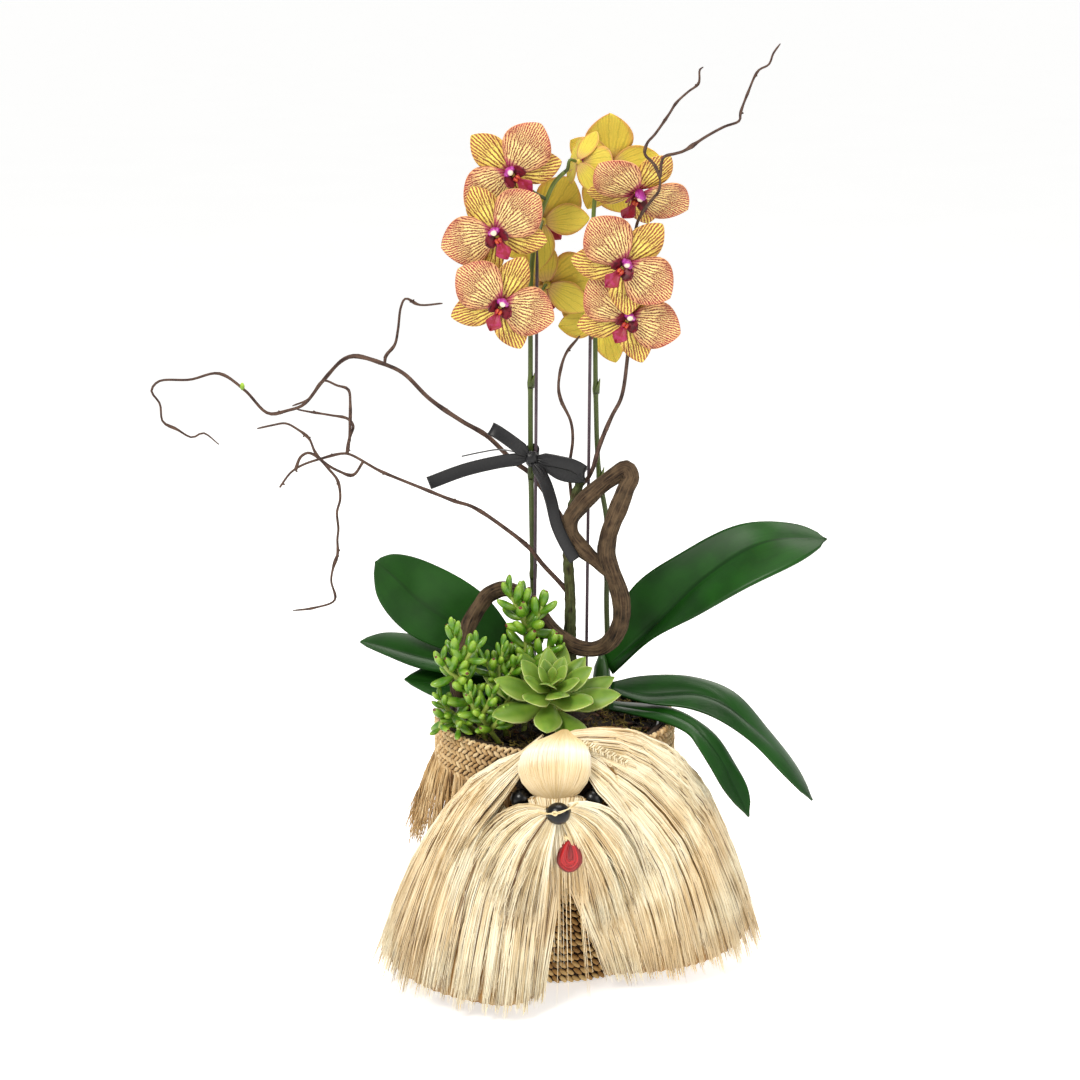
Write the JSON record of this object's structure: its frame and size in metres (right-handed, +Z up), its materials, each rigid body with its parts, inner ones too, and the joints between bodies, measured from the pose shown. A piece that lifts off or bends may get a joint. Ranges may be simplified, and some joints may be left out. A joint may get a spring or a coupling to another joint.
{
  "type": "moth orchid in basket",
  "caption": "Flowering moth orchids with succulents, a looped vine and crooked twigs, planted in a round woven basket dressed as a long-haired dog.",
  "frame": {"origin": "centre of the basket's foot, on the surface it stands on", "axes": "+Z up along the basket's axis, -Y towards the dog's face"},
  "size_m": [0.6144, 0.328, 0.8326],
  "materials": {
    "twine": "matte",
    "liner": "satin",
    "soil": "matte",
    "hair": "satin",
    "bead": "gloss",
    "raffia": "matte",
    "tongue": "satin",
    "leaf": "satin",
    "spike": "satin",
    "stake": "satin",
    "petal": "satin",
    "lip": "satin",
    "stonecrop": "satin",
    "echeveria": "satin",
    "vine": "matte",
    "willow": "matte",
    "ribbon": "satin"
  },
  "bodies": {
    "root": {"basket": "twine", "liner": "liner", "trim_fringe": "twine", "forelock": "hair", "head_core": "twine", "eye_left": "bead", "eye_right": "bead", "nose": "bead", "nose_string": "raffia", "tongue": "tongue", "hair_right": "hair", "moustache_right": "hair", "hair_left": "hair", "moustache_left": "hair", "crown_left": "leaf", "leaf_left_1": "leaf", "leaf_left_2": "leaf", "leaf_left_3": "leaf", "crown_right": "leaf", "leaf_right_1": "leaf", "leaf_right_2": "leaf", "leaf_right_3": "leaf", "bloom_left_1_petals": "petal", "bloom_left_1_lip": "lip", "bloom_left_2_petals": "petal", "bloom_left_2_lip": "lip", "bloom_left_3_petals": "petal", "bloom_left_3_lip": "lip", "bloom_left_4_petals": "petal", "bloom_left_4_lip": "lip", "bloom_left_5_petals": "petal", "bloom_left_5_lip": "lip", "bloom_left_6_petals": "petal", "bloom_left_6_lip": "lip", "bloom_right_1_petals": "petal", "bloom_right_1_lip": "lip", "bloom_right_2_petals": "petal", "bloom_right_2_lip": "lip", "bloom_right_3_petals": "petal", "bloom_right_3_lip": "lip", "bloom_right_4_petals": "petal", "bloom_right_4_lip": "lip", "bloom_right_5_petals": "petal", "bloom_right_5_lip": "lip", "spike_left": "spike", "spike_right": "spike", "stake_left": "stake", "stake_right": "stake", "stonecrop_1": "stonecrop", "stonecrop_2": "stonecrop", "stonecrop_3": "stonecrop", "stonecrop_4": "stonecrop", "stonecrop_5": "stonecrop", "stonecrop_6": "stonecrop", "echeveria": "echeveria", "vine": "vine", "willow_branch": "willow", "ribbon": "ribbon", "soil": "soil"}
  },
  "joints": []
}
